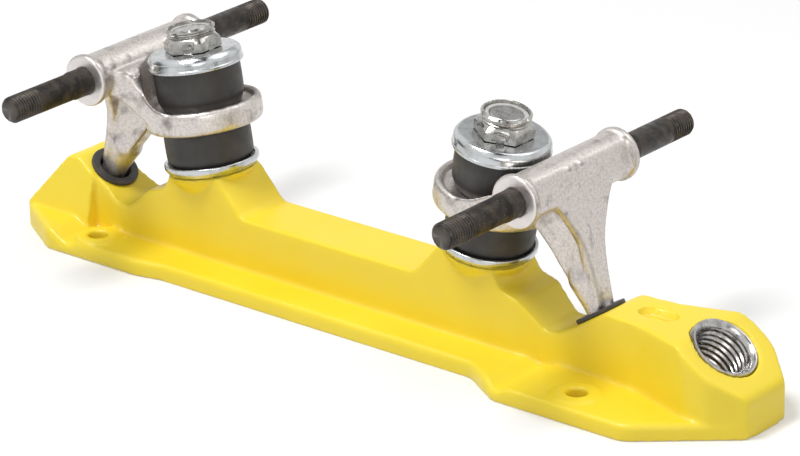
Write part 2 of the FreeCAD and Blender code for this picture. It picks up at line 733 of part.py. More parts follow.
def makeHanger(end, turn):
    """Cast hanger: bar and collars, arms, ring with its seat, web, gusset and pivot stem."""
    tag = end + "_hanger_"
    across = Rotation(Vector(1, 0, 0), 90)

    def barCylinder(name, radius, length, start):
        item = solid("Cylinder", tag + name, Radius=radius, Height=length)
        item.Placement = Placement(Vector(0, 0, 0), across)
        tie(item, Placement__Base__x="axle_set", Placement__Base__y=start,
            Placement__Base__z="axle_height")
        return item

    def alongKingpin(name, radius, low, high):
        item = solid("Cylinder", tag + name, Radius=radius, Height="(%s) - (%s)" % (high, low))
        lean(item, "0", "0", "kingpin_tilt", low)
        return item

    # bar with a flat front
    bar = barCylinder("bar", "bar_radius", "hanger_width - collar_long", "(hanger_width - collar_long) / 2")
    front = solid("Box", tag + "front_space", Length="bar_radius * 3", Width="hanger_width * 2",
                  Height="bar_radius * 6")
    front.Placement = Placement(Vector(0, 0, 0), Rotation(Vector(0, 1, 0), 1))
    tie(front, Placement__Rotation__Angle="-web_lean", Placement__Base__y="-hanger_width",
        Placement__Base__x="axle_set + web_offset * cos(web_lean * 1 deg)"
        " + bar_radius * 3 * sin(web_lean * 1 deg)",
        Placement__Base__z="axle_height + web_offset * sin(web_lean * 1 deg)"
        " - bar_radius * 3 * cos(web_lean * 1 deg)")
    flatBar = combine("Cut", tag + "flat_bar", bar, front)
    collars = [barCylinder("collar_%d" % k, "collar_radius", "collar_long", start) for k, start in
               enumerate(("hanger_width / 2", "-hanger_width / 2 + collar_long"))]

    # web: a plate behind the flat front, its flanks hollowed by two large rounds
    webOutline = freeSketch(tag + "web", Rotation(Vector(0, 0, 1), 90) * Rotation(Vector(1, 0, 0), 90))
    drawPolygon(webOutline, mirroredUp([
        ("web_top_half", "web_head_up"), ("web_top_half", "web_head_up - collar_long"),
        ("web_top_half", "-web_foot_down"), ("web_foot_half", "-web_foot_down")]))
    plate = extrude(webOutline, "web_thick")
    plate.Reversed = True
    flankOutline = freeSketch(tag + "flanks", webOutline.Placement.Rotation)
    for flank in ("1", "-1"):
        drawCircle(flankOutline, flank + " * (web_foot_half + web_curve)", "-web_curve_down", "web_curve")
    flanks = extrude(flankOutline, "web_thick * 2", symmetric=True)
    web = combine("Cut", tag + "web_plate", plate, flanks)
    placeLeaning(web, "web_offset")

    # gusset in the middle, from the ring to the pivot stem
    gussetOutline = freeSketch(tag + "gusset", sideView)
    drawPolygon(gussetOutline, [
        ("gusset_head_u", "gusset_head_z"), ("arm_foot_u", "arm_foot_z"),
        ("arm_top_u", "arm_top_z - arm_thick / 2"), ("axle_set", "axle_height"),
        (webFront("gusset_foot_z + web_thick", "web_thick / 2"), "gusset_foot_z + web_thick"),
        ("gusset_foot_u", "gusset_foot_z")])
    gusset = extrude(gussetOutline, "gusset_half * 2", symmetric=True)

    # arms: a sloping shell from the bar to the sides of the ring
    armOutline = freeSketch(tag + "arms", sideView)
    drawPolygon(armOutline, [
        ("axle_set", "arm_top_z"), ("arm_top_u", "arm_top_z"), ("arm_foot_u", "arm_foot_z"),
        ("arm_end_u", "arm_foot_z - 1"), ("arm_end_u", "arm_foot_z - 1 - arm_thick"),
        ("arm_foot_u + arm_thick * 0.4", "arm_foot_z - 1 - arm_thick"),
        ("arm_top_u + arm_thick * 0.4", "arm_top_z - arm_thick"),
        ("axle_set", "arm_top_z - arm_thick")])
    arms = extrude(armOutline, "arm_half * 2", symmetric=True)
    roundArms = doc.addObject("Part::Fillet", tag + "arm_rounds")
    roundArms.Base = arms
    doc.recompute()
    bends = [k + 1 for k, edge in enumerate(arms.Shape.Edges) if runsAlong(edge, Vector(0, 1, 0))
             and sizes["arm_end_u"] + 1 < middle(edge).x < sizes["axle_set"] - 1]
    roundArms.Edges = [(index, sheet.get("arm_round"), sheet.get("arm_round")) for index in bends]

    ring = alongKingpin("ring", "ring_radius", "ring_bottom", "ring_bottom + ring_high")
    ringEdges = doc.addObject("Part::Fillet", tag + "ring_rounds")
    ringEdges.Base = ring
    doc.recompute()
    ringEdges.Edges = [(k + 1, sheet.get("ring_round"), sheet.get("ring_round"))
                       for k, edge in enumerate(ring.Shape.Edges)
                       if edge.Curve.TypeId == "Part::GeomCircle"]

    stem = solid("Cylinder", tag + "stem", Radius="stem_radius", Height="stem_length + ball_depth")
    lean(stem, "pivot_u", "pivot_top", "-pivot_lean", "-ball_depth")
    ball = solid("Sphere", tag + "ball", Radius="ball_radius")
    lean(ball, "pivot_u", "pivot_top", "-pivot_lean", "-ball_depth")

    cast = combine("MultiFuse", tag + "cast", flatBar, *collars, web, gusset, roundArms, ringEdges,
                   stem, ball)
    upper = alongKingpin("upper_pocket", "ring_bore", "seat_bottom + seat_thick", "ring_bottom + ring_high")
    swing = solid("Cone", tag + "swing_room", Radius1="ring_bore", Radius2="ring_bore + steer_clear",
                  Height="nut_top * 1.1 - (ring_bottom + ring_high)")
    lean(swing, "0", "0", "kingpin_tilt", "ring_bottom + ring_high")
    lower = alongKingpin("lower_pocket", "ring_bore", "boss_seat", "seat_bottom")
    hole = alongKingpin("hole", "seat_hole", "boss_seat", "nut_top")
    bore = barCylinder("bore", "axle_radius + press_gap", "hanger_width * 1.5", "hanger_width * 0.75")
    tools = combine("MultiFuse", tag + "tools", upper, swing, lower, hole, bore)
    hanger = combine("Cut", end + "_hanger", cast, tools)
    hanger.Label = end + "_hanger"
    hanger.Placement = Placement(Vector(0, 0, 0), Rotation(Vector(0, 0, 1), turn))
    tie(hanger, Placement__Base__x=end + "_kingpin_x")


def makeAxle(end, turn):
    """Plain axle with a thicker shoulder against each face of the hanger."""
    body = newBody(end + "_axle")
    sketch = bodySketch(body, end + "_axle_profile", "XZ_Plane")
    tip, face = "axle_length / 2", "hanger_width / 2"
    half = [("axle_radius - axle_end_chamfer", tip), ("axle_radius", tip + " - axle_end_chamfer"),
            ("axle_radius", face + " + axle_shoulder_long"),
            ("axle_shoulder_radius", face + " + axle_shoulder_long - axle_end_chamfer"),
            ("axle_shoulder_radius", face), ("axle_radius", face)]
    drawPolygon(sketch, [("0", "-(%s)" % tip)] + [(r, "-(%s)" % z) for r, z in half]
                + half[::-1] + [("0", tip)])
    revolve(body, sketch)
    body.Placement = Placement(Vector(0, 0, 0), Rotation(Vector(1, 0, 0), 90))
    tie(body, Placement__Base__x=truckPoint(end, "axle_set", "0")[0],
        Placement__Base__z="axle_height")


def makeInsert():
    turnedBody("toe_stop_insert", [
        ("insert_bore", "-insert_depth"), ("insert_radius", "-insert_depth"),
        ("insert_radius", "0"), ("insert_mouth", "0"),
        ("insert_bore", "-(insert_mouth - insert_bore)")],
        ("toe_face_x", "toe_face_z", "toe_lean"))


makeBase()
for end, side, turn in (("front", "1", 0), ("rear", "-1", 180)):
    makeStack(end, side)
    makeCup(end, side)
    makeHanger(end, turn)
    makeAxle(end, turn)
makeInsert()
doc.recompute()

labels = ["base_plate", "toe_stop_insert"] + [
    "%s_%s" % (end, piece) for end in ("front", "rear")
    for piece in ("pivot_cup", "hanger", "axle", "kingpin", "lower_washer", "lower_cushion",
                  "upper_cushion", "upper_washer", "lock_nut", "nut_ring")]

failed = [item.Name for item in doc.Objects if {"Invalid", "Error"} & set(item.State)]
if failed:
    raise RuntimeError("failed features: " + ", ".join(failed))
pieces = [doc.getObjectsByLabel(label)[0] for label in labels]
for piece in pieces:
    if piece.Shape.isNull() or not piece.Shape.isValid():
        raise RuntimeError("no valid shape: " + piece.Label)

os.makedirs("parts", exist_ok=True)
for piece in pieces:
    piece.Shape.exportStep("parts/%s.step" % piece.Label)
    print("%-22s %d solid  %9.1f mm3" % (piece.Label, len(piece.Shape.Solids), piece.Shape.Volume))
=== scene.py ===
import math

import bmesh
import bpy
from mathutils import Matrix, Vector


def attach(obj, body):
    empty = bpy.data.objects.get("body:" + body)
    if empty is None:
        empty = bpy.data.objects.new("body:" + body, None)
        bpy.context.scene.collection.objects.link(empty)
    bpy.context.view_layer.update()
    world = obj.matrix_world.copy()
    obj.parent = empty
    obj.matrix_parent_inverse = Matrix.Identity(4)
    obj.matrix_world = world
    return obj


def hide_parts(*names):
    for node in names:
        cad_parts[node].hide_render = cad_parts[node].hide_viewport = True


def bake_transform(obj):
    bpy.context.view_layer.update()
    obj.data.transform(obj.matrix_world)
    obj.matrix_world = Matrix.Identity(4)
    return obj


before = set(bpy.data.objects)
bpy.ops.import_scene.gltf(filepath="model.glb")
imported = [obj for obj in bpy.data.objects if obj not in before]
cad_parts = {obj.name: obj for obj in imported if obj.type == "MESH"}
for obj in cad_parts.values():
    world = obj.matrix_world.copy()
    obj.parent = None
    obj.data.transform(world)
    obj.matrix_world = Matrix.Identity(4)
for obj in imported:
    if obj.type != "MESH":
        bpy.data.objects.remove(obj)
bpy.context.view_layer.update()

# Roller skate plate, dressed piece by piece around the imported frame.
# The dictionaries are in millimetres and degrees unless a line says otherwise; Blender is in metres.
# A truck is drawn in its own frame: outboard from the kingpin's foot, along the axle, and up.
mm = 0.001
scene = bpy.context.scene
ends = ("front", "rear")

trucks = {
    "kingpinX": {"front": 31.6, "rear": -62.4},  # where the kingpin axis meets the sole
    "kingpinTilt": 9.75,
    "axleOut": 33.5,      # outboard of the kingpin foot
    "axleHeight": 57.8,
    "pivotOut": 45.0,
    "pivotHeight": 21.0,
    "pivotLean": 32.3,
    "ballDepth": 4.5,     # from the face of the pivot cup to the middle of the ball
    "hangerWidth": 48.0,
}
toeFace = {"x": 119.6, "z": 21.0, "lean": 34.5}  # middle of the toe stop's mouth


# Places: a piece is drawn about its own Z axis, which a line below sets into the truck or the toe

def shifted(x, y, z):
    return Matrix.Translation(Vector((x, y, z)) * mm)


def turnedAbout(axis, degrees):
    return Matrix.Rotation(math.radians(degrees), 4, axis)


def kingpinLine():
    return turnedAbout("Y", trucks["kingpinTilt"])


def pivotLine():
    return shifted(trucks["pivotOut"], 0, trucks["pivotHeight"]) @ turnedAbout("Y", -trucks["pivotLean"])


def axleLine():
    return shifted(trucks["axleOut"], 0, trucks["axleHeight"]) @ turnedAbout("X", 90)


def toeLine():
    return shifted(toeFace["x"], 0, toeFace["z"]) @ turnedAbout("Y", toeFace["lean"])


def truckPlace(end):
    return shifted(trucks["kingpinX"][end], 0, 0) @ turnedAbout("Z", 0 if end == "front" else 180)


# Shapes: each gives its points in millimetres and its faces

def easedOutline(corners, radius, steps=4):
    # cuts each corner of a closed outline back to a short curve; corners on the axis stay
    outline = []
    for k, corner in enumerate(corners):
        here = Vector(corner)
        if abs(here.x) < 1e-6:
            outline.append(here)
            continue
        before = Vector(corners[k - 1]) - here
        after = Vector(corners[(k + 1) % len(corners)]) - here
        cut = min(radius, 0.45 * before.length, 0.45 * after.length)
        start, end = here + before.normalized() * cut, here + after.normalized() * cut
        for step in range(steps + 1):
            t = step / steps
            outline.append(start * (1 - t) ** 2 + here * 2 * t * (1 - t) + end * t ** 2)
    return outline


def gridShape(rings):
    # closed rings of equally many points, joined side by side; the last joins the first
    count = len(rings[0])
    points = [point for ring in rings for point in ring]
    faces = []
    for k in range(len(rings)):
        a, b = k * count, (k + 1) % len(rings) * count
        faces += [(a + j, b + j, b + (j + 1) % count, a + (j + 1) % count) for j in range(count)]
    return points, faces


def cappedShape(rings):
    # the first and the last ring closed by a face of their own
    points, faces = gridShape(rings)
    count, last = len(rings[0]), len(points)
    return points, faces[:-count] + [tuple(range(count)), tuple(range(last - 1, last - count - 1, -1))]


def turnedShape(corners, radius, spans=96, squeeze=None):
    # a turned piece about the Z axis from corners given as radius and height, eased by the radius;
    # squeeze may change the radius and height with the angle
    outline = easedOutline(corners, radius) if radius else [Vector(corner) for corner in corners]
    rings = []
    for k in range(spans):
        angle = 2 * math.pi * k / spans
        ring = []
        for point in outline:
            r, z = squeeze(point.x, point.y, angle) if squeeze else (point.x, point.y)
            ring.append((r * math.cos(angle), r * math.sin(angle), z))
        rings.append(ring)
    return gridShape(rings)


def slabShape(outline, halfWidth, edge=0.0):
    # an outline in the side view (out, height) given thickness along Y, with its two rims cut back
    middle = sum((Vector(point) for point in outline), Vector((0, 0))) / len(outline)
    inner = halfWidth - edge
    rings = []
    for y, inset in ((-halfWidth, edge), (-inner, 0), (inner, 0), (halfWidth, edge)):
        ring = []
        for point in outline:
            toMiddle = middle - Vector(point)
            pulled = Vector(point) + toMiddle.normalized() * inset
            ring.append((pulled.x, y, pulled.y))
        rings.append(ring)
    return cappedShape(rings)


def curveThrough(points, steps=6):
    # smooth line through the points
    result = []
    for k in range(len(points) - 1):
        p0, p1 = Vector(points[max(k - 1, 0)]), Vector(points[k])
        p2, p3 = Vector(points[k + 1]), Vector(points[min(k + 2, len(points) - 1)])
        for step in range(steps):
            t = step / steps
            result.append(0.5 * (2 * p1 + (p2 - p0) * t + (2 * p0 - 5 * p1 + 4 * p2 - p3) * t ** 2
                                 + (3 * p1 - p0 - 3 * p2 + p3) * t ** 3))
    return result + [Vector(points[-1])]


def addPiece(name, shapes, place, sharp=None):
    # one object from shapes that may overlap; a shape may carry a place of its own
    points, faces = [], []
    for shape in shapes:
        own = shape[2] if len(shape) > 2 else Matrix.Identity(4)
        faces += [tuple(index + len(points) for index in face) for face in shape[1]]
        points += [place @ own @ (Vector(point) * mm) for point in shape[0]]
    mesh = bpy.data.meshes.new(name)
    mesh.from_pydata(points, [], faces)
    piece = bpy.data.objects.new(name, mesh)
    scene.collection.objects.link(piece)
    work = bmesh.new()
    work.from_mesh(mesh)
    bmesh.ops.remove_doubles(work, verts=work.verts, dist=0.002 * mm)
    bmesh.ops.dissolve_degenerate(work, edges=work.edges, dist=0.001 * mm)
    bmesh.ops.recalc_face_normals(work, faces=work.faces)
    work.to_mesh(mesh)
    work.free()
    smooth(piece, sharp)
    return piece


def smooth(piece, sharp=None):
    piece.data.shade_smooth()
    if sharp:
        piece.data.set_sharp_from_angle(angle=math.radians(sharp))


def settle(piece):
    # turns the modifiers into plain mesh
    graph = bpy.context.evaluated_depsgraph_get()
    graph.update()
    mesh = bpy.data.meshes.new_from_object(piece.evaluated_get(graph))
    piece.modifiers.clear()
    piece.data = mesh


def remesh(piece, voxel):
    step = piece.modifiers.new("remesh", "REMESH")
    step.mode = "VOXEL"
    step.voxel_size = voxel * mm
    step.use_smooth_shade = True


def soften(piece, passes):
    step = piece.modifiers.new("soften", "SMOOTH")
    step.factor = 0.5
    step.iterations = passes


def cutAway(piece, tool):
    step = piece.modifiers.new("cut", "BOOLEAN")
    step.operation = "DIFFERENCE"
    step.object = tool
    step.solver = "EXACT"
    settle(piece)
    bpy.data.objects.remove(tool)


# Node helpers

def newMaterial(name, metallic, roughness):
    material = bpy.data.materials.new(name)
    material.use_nodes = True
    shader = material.node_tree.nodes["Principled BSDF"]
    shader.inputs["Metallic"].default_value = metallic
    shader.inputs["Roughness"].default_value = roughness
    return material, material.node_tree, shader


def grain(tree, size, detail):
    # noise whose features are about the given size in millimetres
    where = tree.nodes.new("ShaderNodeTexCoord")
    noise = tree.nodes.new("ShaderNodeTexNoise")
    noise.inputs["Scale"].default_value = 1 / (size * mm)
    noise.inputs["Detail"].default_value = detail
    tree.links.new(where.outputs["Object"], noise.inputs["Vector"])
    return noise.outputs["Fac"]


def spread(tree, source, low, high, start=0.3, end=0.7):
    # maps a range of the source to a range of values; noise lies mostly between 0.3 and 0.7
    node = tree.nodes.new("ShaderNodeMapRange")
    for key, value in (("From Min", start), ("From Max", end), ("To Min", low), ("To Max", high)):
        node.inputs[key].default_value = value
    tree.links.new(source, node.inputs["Value"])
    return node.outputs["Result"]


def mottle(tree, size, detail, start, end, first, second):
    # noise that goes from the first colour to the second
    source = grain(tree, size, detail)
    stops = ((start, first), (end, second))
    ramp = tree.nodes.new("ShaderNodeValToRGB")
    for element, (place, colour) in zip(ramp.color_ramp.elements, stops):
        element.position = place
        element.color = (*colour, 1)
    tree.links.new(source, ramp.inputs["Fac"])
    return ramp.outputs["Color"]


def blendColour(tree, factor, under, over):
    # lays a plain colour over what is there, by the factor
    node = tree.nodes.new("ShaderNodeMix")
    node.data_type = "RGBA"
    tree.links.new(factor, node.inputs[0])
    tree.links.new(under, node.inputs[6])
    node.inputs[7].default_value = (*over, 1)
    return node.outputs[2]


def relief(tree, shader, size, detail, height):
    # noise bump of the given height in millimetres, on top of what is there
    source = grain(tree, size, detail)
    node = tree.nodes.new("ShaderNodeBump")
    node.inputs["Distance"].default_value = height * mm
    tree.links.new(source, node.inputs["Height"])
    earlier = shader.inputs["Normal"].links
    if earlier:
        tree.links.new(earlier[0].from_socket, node.inputs["Normal"])
    tree.links.new(node.outputs["Normal"], shader.inputs["Normal"])


def texture(tree, shader, look):
    # uneven roughness and relief; both give the noise's size and detail first
    size, detail, low, high = look["roughness"]
    tree.links.new(spread(tree, grain(tree, size, detail), low, high), shader.inputs["Roughness"])
    for layer in look["relief"]:
        relief(tree, shader, *layer)


def edges(tree, low, high, start, end):
    # low in creases, high on edges
    geometry = tree.nodes.new("ShaderNodeNewGeometry")
    return spread(tree, geometry.outputs["Pointiness"], low, high, start, end)


# Materials. In a look, noise starts with its size and detail. After them come the two shares of a
# mottle, the lowest and highest value of a roughness, or the height of a relief. A range, painted
# crease shade or rim holds the two values that come out and the two that they start and end at.

def nylonMaterial():
    look = {
        "face": (0.91, 0.685, 0.026),
        "pale": (0.92, 0.72, 0.040),
        # deep: painted shade, a darker orange laid into the creases
        "deep": (0.78, 0.40, 0.008),
        "clouds": (45, 3, 0.35, 0.7),
        "creaseShade": (1, 0, 0.40, 0.49),
        "shine": 0.55,
        "roughness": (6, 4, 0.30, 0.46),
        "relief": ((1.1, 3, 0.012), (14, 2, 0.10)),
    }
    material, tree, shader = newMaterial("yellowNylon", 0.0, 0.38)
    shader.inputs["Specular IOR Level"].default_value = look["shine"]
    clouds = mottle(tree, *look["clouds"], look["face"], look["pale"])
    # painted shade: the deep colour is laid into the creases, where pointiness is low
    shaded = blendColour(tree, edges(tree, *look["creaseShade"]), clouds, look["deep"])
    tree.links.new(shaded, shader.inputs["Base Color"])
    texture(tree, shader, look)
    return material


def endFaces(tree, inner, outer):
    # one on the bar's turned end faces, none elsewhere; the depths are from the end face
    face = trucks["hangerWidth"] / 2
    where = tree.nodes.new("ShaderNodeTexCoord")
    parts = tree.nodes.new("ShaderNodeSeparateXYZ")
    tree.links.new(where.outputs["Object"], parts.inputs["Vector"])
    side = tree.nodes.new("ShaderNodeMath")
    side.operation = "ABSOLUTE"
    tree.links.new(parts.outputs["Y"], side.inputs[0])
    return spread(tree, side.outputs[0], 0, 1, (face - inner) * mm, (face - outer) * mm)


def castMaterial():
    look = {
        "bright": (0.70, 0.65, 0.615),
        "grey": (0.54, 0.50, 0.47),
        # stain: real stains where the patches fall, and painted shade where it is laid into the creases
        "stainAndCreaseShade": (0.14, 0.12, 0.11),
        # rim: painted dark reflection, laid on the convex rims
        "rim": (0.22, 0.20, 0.19),
        "turned": (0.74, 0.70, 0.68),
        "mottle": (0.7, 5, 0.33, 0.60),
        "patches": (5, 6),
        "patchRange": (0, 0.7, 0.57, 0.75),
        "creaseShade": (0.7, 0.0, 0.42, 0.5),
        "rims": (0, 0.65, 0.508, 0.54),
        "endFaces": (0.4, 0.2),  # depths between which the turned face begins
        "roughness": (2.2, 5, 0.28, 0.50),
        "relief": ((0.6, 4, 0.035), (3.5, 3, 0.06)),
    }
    material, tree, shader = newMaterial("castAluminium", 0.92, 0.45)
    cast = mottle(tree, *look["mottle"], look["grey"], look["bright"])
    patches = spread(tree, grain(tree, *look["patches"]), *look["patchRange"])
    creaseShade, rims = edges(tree, *look["creaseShade"]), edges(tree, *look["rims"])
    turned = endFaces(tree, *look["endFaces"])
    # patches are real stains; the creases get painted shade and the rims a painted dark reflection
    for factor, colour in ((patches, "stainAndCreaseShade"), (creaseShade, "stainAndCreaseShade"), (rims, "rim"), (turned, "turned")):
        cast = blendColour(tree, factor, cast, look[colour])
    tree.links.new(cast, shader.inputs["Base Color"])
    texture(tree, shader, look)
    return material


platings = {
    "brightZinc": {"size": 4.0, "bright": (0.56, 0.58, 0.59), "dull": (0.44, 0.45, 0.45)},
    "nutZinc": {"size": 3.0, "bright": (0.44, 0.43, 0.41), "dull": (0.30, 0.29, 0.27)},
    "turnedSteel": {"size": 2.0, "bright": (0.46, 0.45, 0.44), "dull": (0.30, 0.29, 0.28)},
}


def platingMaterial(name):
    plating = platings[name]
    look = {
        "film": (plating["size"], 5, 0.35, 0.55),
        "roughness": (plating["size"] / 3, 4, 0.12, 0.30),
        "relief": ((0.9, 3, 0.004), (5, 2, 0.02)),
    }
    material, tree, shader = newMaterial(name, 1.0, 0.2)
    film = mottle(tree, *look["film"], plating["dull"], plating["bright"])
    tree.links.new(film, shader.inputs["Base Color"])
    texture(tree, shader, look)
    return material


def oxideMaterial():
    look = {
        "black": (0.020, 0.018, 0.016),
        "brown": (0.060, 0.048, 0.038),
        "rub": (0.30, 0.27, 0.24),
        "film": (3.5, 5, 0.4, 0.65),
        "smudges": (0.9, 6),
        "smudgeRange": (0, 0.35, 0.62, 0.76),
        "rims": (0, 0.5, 0.52, 0.60),
        "roughness": (2, 4, 0.34, 0.58),
        "relief": ((0.7, 4, 0.02),),
    }
    material, tree, shader = newMaterial("blackOxide", 0.7, 0.45)
    film = mottle(tree, *look["film"], look["black"], look["brown"])
    smudges = spread(tree, grain(tree, *look["smudges"]), *look["smudgeRange"])
    for factor in (smudges, edges(tree, *look["rims"])):
        film = blendColour(tree, factor, film, look["rub"])
    tree.links.new(film, shader.inputs["Base Color"])
    texture(tree, shader, look)
    return material


def rubberMaterial():
    look = {
        "black": (0.030, 0.027, 0.025),
        "grey": (0.055, 0.050, 0.046),
        "bloom": (8, 4, 0.35, 0.7),
        "roughness": (2.5, 4, 0.42, 0.6),
        "relief": ((0.6, 3, 0.015),),
    }
    material, tree, shader = newMaterial("blackRubber", 0.0, 0.5)
    bloom = mottle(tree, *look["bloom"], look["black"], look["grey"])
    tree.links.new(bloom, shader.inputs["Base Color"])
    texture(tree, shader, look)
    return material


def ringMaterial():
    look = {
        "pale": (0.55, 0.54, 0.52),
        "grey": (0.40, 0.39, 0.38),
        "clouds": (2.5, 4, 0.35, 0.65),
        "relief": (0.8, 3, 0.02),
    }
    material, tree, shader = newMaterial("lockRingNylon", 0.0, 0.45)
    clouds = mottle(tree, *look["clouds"], look["grey"], look["pale"])
    tree.links.new(clouds, shader.inputs["Base Color"])
    relief(tree, shader, *look["relief"])
    return material


print("materials")
yellowNylon = nylonMaterial()
castAluminium = castMaterial()
brightZinc = platingMaterial("brightZinc")
nutZinc = platingMaterial("nutZinc")
turnedSteel = platingMaterial("turnedSteel")
blackOxide = oxideMaterial()
blackRubber = rubberMaterial()
lockRingNylon = ringMaterial()


def dress(piece, material, slot, body, *nodes):
    # finish, frame slot (not used), the CAD nodes the piece stands for, and the body it moves with
    piece.data.materials.clear()
    piece.data.materials.append(material)
    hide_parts(*nodes)
    if body:
        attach(piece, body)


# Moulded plate: the CAD solid with the soft edges of a moulding, then its dimple and socket cut crisp

plate = {
    "voxel": 0.6,
    "passes": 7,
    "crease": 50,
    "dimple": {"x": 97.0, "z": 24.8, "long": 13.0, "wide": 6.6, "deep": 2.1, "draft": 0.8, "foot": 0.5},
    "dimpleSpans": 48,
    "socket": {"radius": 10.35, "depth": 16.0},
    "cutterHigh": 4,
}


def dimpleShape():
    # a slot with round ends, drawn in by its draft
    size = plate["dimple"]
    straight, radius = (size["long"] - size["wide"]) / 2, size["wide"] / 2
    deep, draft, foot = size["deep"], size["draft"], size["foot"]
    rings = []
    for z, inset in ((-deep, draft + foot), (-deep + foot, draft), (0, 0), (plate["cutterHigh"], 0)):
        ring = []
        for k in range(plate["dimpleSpans"]):
            angle = 2 * math.pi * k / plate["dimpleSpans"]
            x = (radius - inset) * math.cos(angle) + math.copysign(straight, math.cos(angle))
            ring.append((x, (radius - inset) * math.sin(angle), z))
        rings.append(ring)
    return cappedShape(rings)


def socketShape():
    radius, depth, high = plate["socket"]["radius"], plate["socket"]["depth"], plate["cutterHigh"]
    return turnedShape([(0, -depth), (radius, -depth), (radius, high), (0, high)], 0)


def makePlate():
    piece = bpy.data.objects.new("mouldedPlate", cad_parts["base_plate"].data.copy())
    scene.collection.objects.link(piece)
    remesh(piece, plate["voxel"])
    soften(piece, plate["passes"])
    settle(piece)
    dimple = plate["dimple"]
    cutAway(piece, addPiece("dimpleCutter", [dimpleShape()], shifted(dimple["x"], 0, dimple["z"])))
    cutAway(piece, addPiece("socketCutter", [socketShape()], toeLine()))
    smooth(piece, plate["crease"])
    dress(piece, yellowNylon, "plate_nylon", "base", "base_plate")


print("moulded plate")
makePlate()


# Cushions, washers, kingpin, nut and pivot cup of each truck; heights run along the kingpin

stack = {
    "seat": 30.2,
    "bore": 5.1,
    "lowerWasher": {"foot": 13.4, "footRound": 0.4, "rim": 14.3, "high": 3.3, "thick": 1.2,
                    "kneeOut": 0.55, "kneeIn": 0.7, "easing": 0.5},  # knees are shares of the height
    "cushion": {"radius": 12.8, "bulge": 0.3, "bore": 5.3, "chamfer": 1.3, "easing": 0.9},
    "lowerCushion": (31.4, 46.2),
    "upperCushion": (49.4, 65.7),
    "upperWasher": {"rim": 62.3, "top": 66.9, "radius": 14.3, "crown": 12.8, "thick": 1.2,
                    "shoulder": 1.5, "roof": 1.4, "roofHigh": 2.2, "lip": 0.22, "lipHigh": 0.9,
                    "lipSlope": 0.2, "easing": 0.7},
    "kingpin": {"radius": 5.0, "head": 3.0, "end": 73.2, "headHigh": 6.4, "headFlats": 16.0,
                "easing": 0.8, "crease": 35},
    "nut": {"flats": 15.2, "hexHigh": 4.3, "bore": 5.02, "seatGap": 0.02, "foot": 0.22, "footRise": 0.05,
            "footRound": 0.985, "shoulder": 0.9, "topDrop": 0.55, "topRound": 0.93, "notches": 6,
            "notchWide": 0.2, "notchDeep": 0.35, "notchAbove": 6.9, "crease": 38,
            # the round collar, by radius and height above the hexagon
            "collar": [(6.9, 0.1), (7.3, 0.6), (6.8, 1.0), (6.8, 1.4), (7.4, 1.8), (7.4, 2.3), (6.8, 2.8),
                       (6.47, 2.7), (6.42, 1.9), (6.42, 0.1), (5.02, 0.1)]},
    "ring": {"radius": 6.4, "low": 71.3, "high": 73.1, "easing": 0.3},
}


def makeLowerWasher(end):
    size, low = stack["lowerWasher"], stack["seat"]
    high, foot, rim, thick = (size[key] for key in ("high", "foot", "rim", "thick"))
    shape = turnedShape([
        (stack["bore"], low), (foot - size["footRound"], low), (rim, low + high * size["kneeOut"]),
        (rim, low + high), (rim - thick, low + high), (rim - thick, low + high * size["kneeIn"]),
        (foot - thick, low + thick), (stack["bore"], low + thick)], size["easing"])
    piece = addPiece(end + "LowerWasher", [shape], truckPlace(end) @ kingpinLine())
    dress(piece, brightZinc, "washer_plating", "base", end + "_lower_washer")


def makeUpperWasher(end):
    size = stack["upperWasher"]
    top, rim, radius, crown, thick = (size[key] for key in ("top", "rim", "radius", "crown", "thick"))
    waist, lipTop = radius - size["lip"], rim + size["lipHigh"]
    shape = turnedShape([
        (stack["bore"], top - thick), (crown - size["roof"], top - thick),
        (radius - thick, rim + size["roofHigh"]), (radius - thick, rim), (radius, rim), (radius, lipTop),
        (waist, lipTop + size["lipSlope"]), (waist, top - size["shoulder"]),
        (crown, top), (stack["bore"], top)], size["easing"])
    piece = addPiece(end + "UpperWasher", [shape], truckPlace(end) @ kingpinLine())
    dress(piece, brightZinc, "washer_plating", "base", end + "_upper_washer")


def makeCushion(end, which):
    size = stack["cushion"]
    low, high = stack[which + "Cushion"]
    radius, bore = size["radius"], size["bore"]
    shoulder = radius - size["chamfer"]
    side = [(radius + size["bulge"] * math.sin(math.pi * t), low + (high - low) * t) for t in
            (0.2, 0.35, 0.5, 0.65, 0.8)]
    shape = turnedShape([(bore, low), (shoulder, low), *side, (shoulder, high), (bore, high)],
                        size["easing"])
    place = truckPlace(end) @ kingpinLine()
    piece = addPiece(end + which.capitalize() + "Cushion", [shape], place)
    dress(piece, blackRubber, "cushion_rubber", None, "%s_%s_cushion" % (end, which))
    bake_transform(piece)


def hexRadius(flats, angle):
    # distance from the axis to the side of a hexagon
    return flats / 2 / math.cos((angle + math.pi / 6) % (math.pi / 3) - math.pi / 6)


def makeKingpin(end):
    size = stack["kingpin"]
    radius, head, tip, neck = size["radius"], size["head"], size["end"], size["head"] + size["headHigh"]
    shank = turnedShape([(0, neck - 1), (radius, neck - 1), (radius, tip), (0, tip)], size["easing"], 48)
    hexagon = turnedShape([(0, head), (1, head), (1, neck), (0, neck)], 0, 72,
                          lambda r, z, angle: (r * hexRadius(size["headFlats"], angle + math.pi / 6), z))
    piece = addPiece(end + "Kingpin", [shank, hexagon], truckPlace(end) @ kingpinLine(), size["crease"])
    dress(piece, turnedSteel, "kingpin_steel", "base", end + "_kingpin")


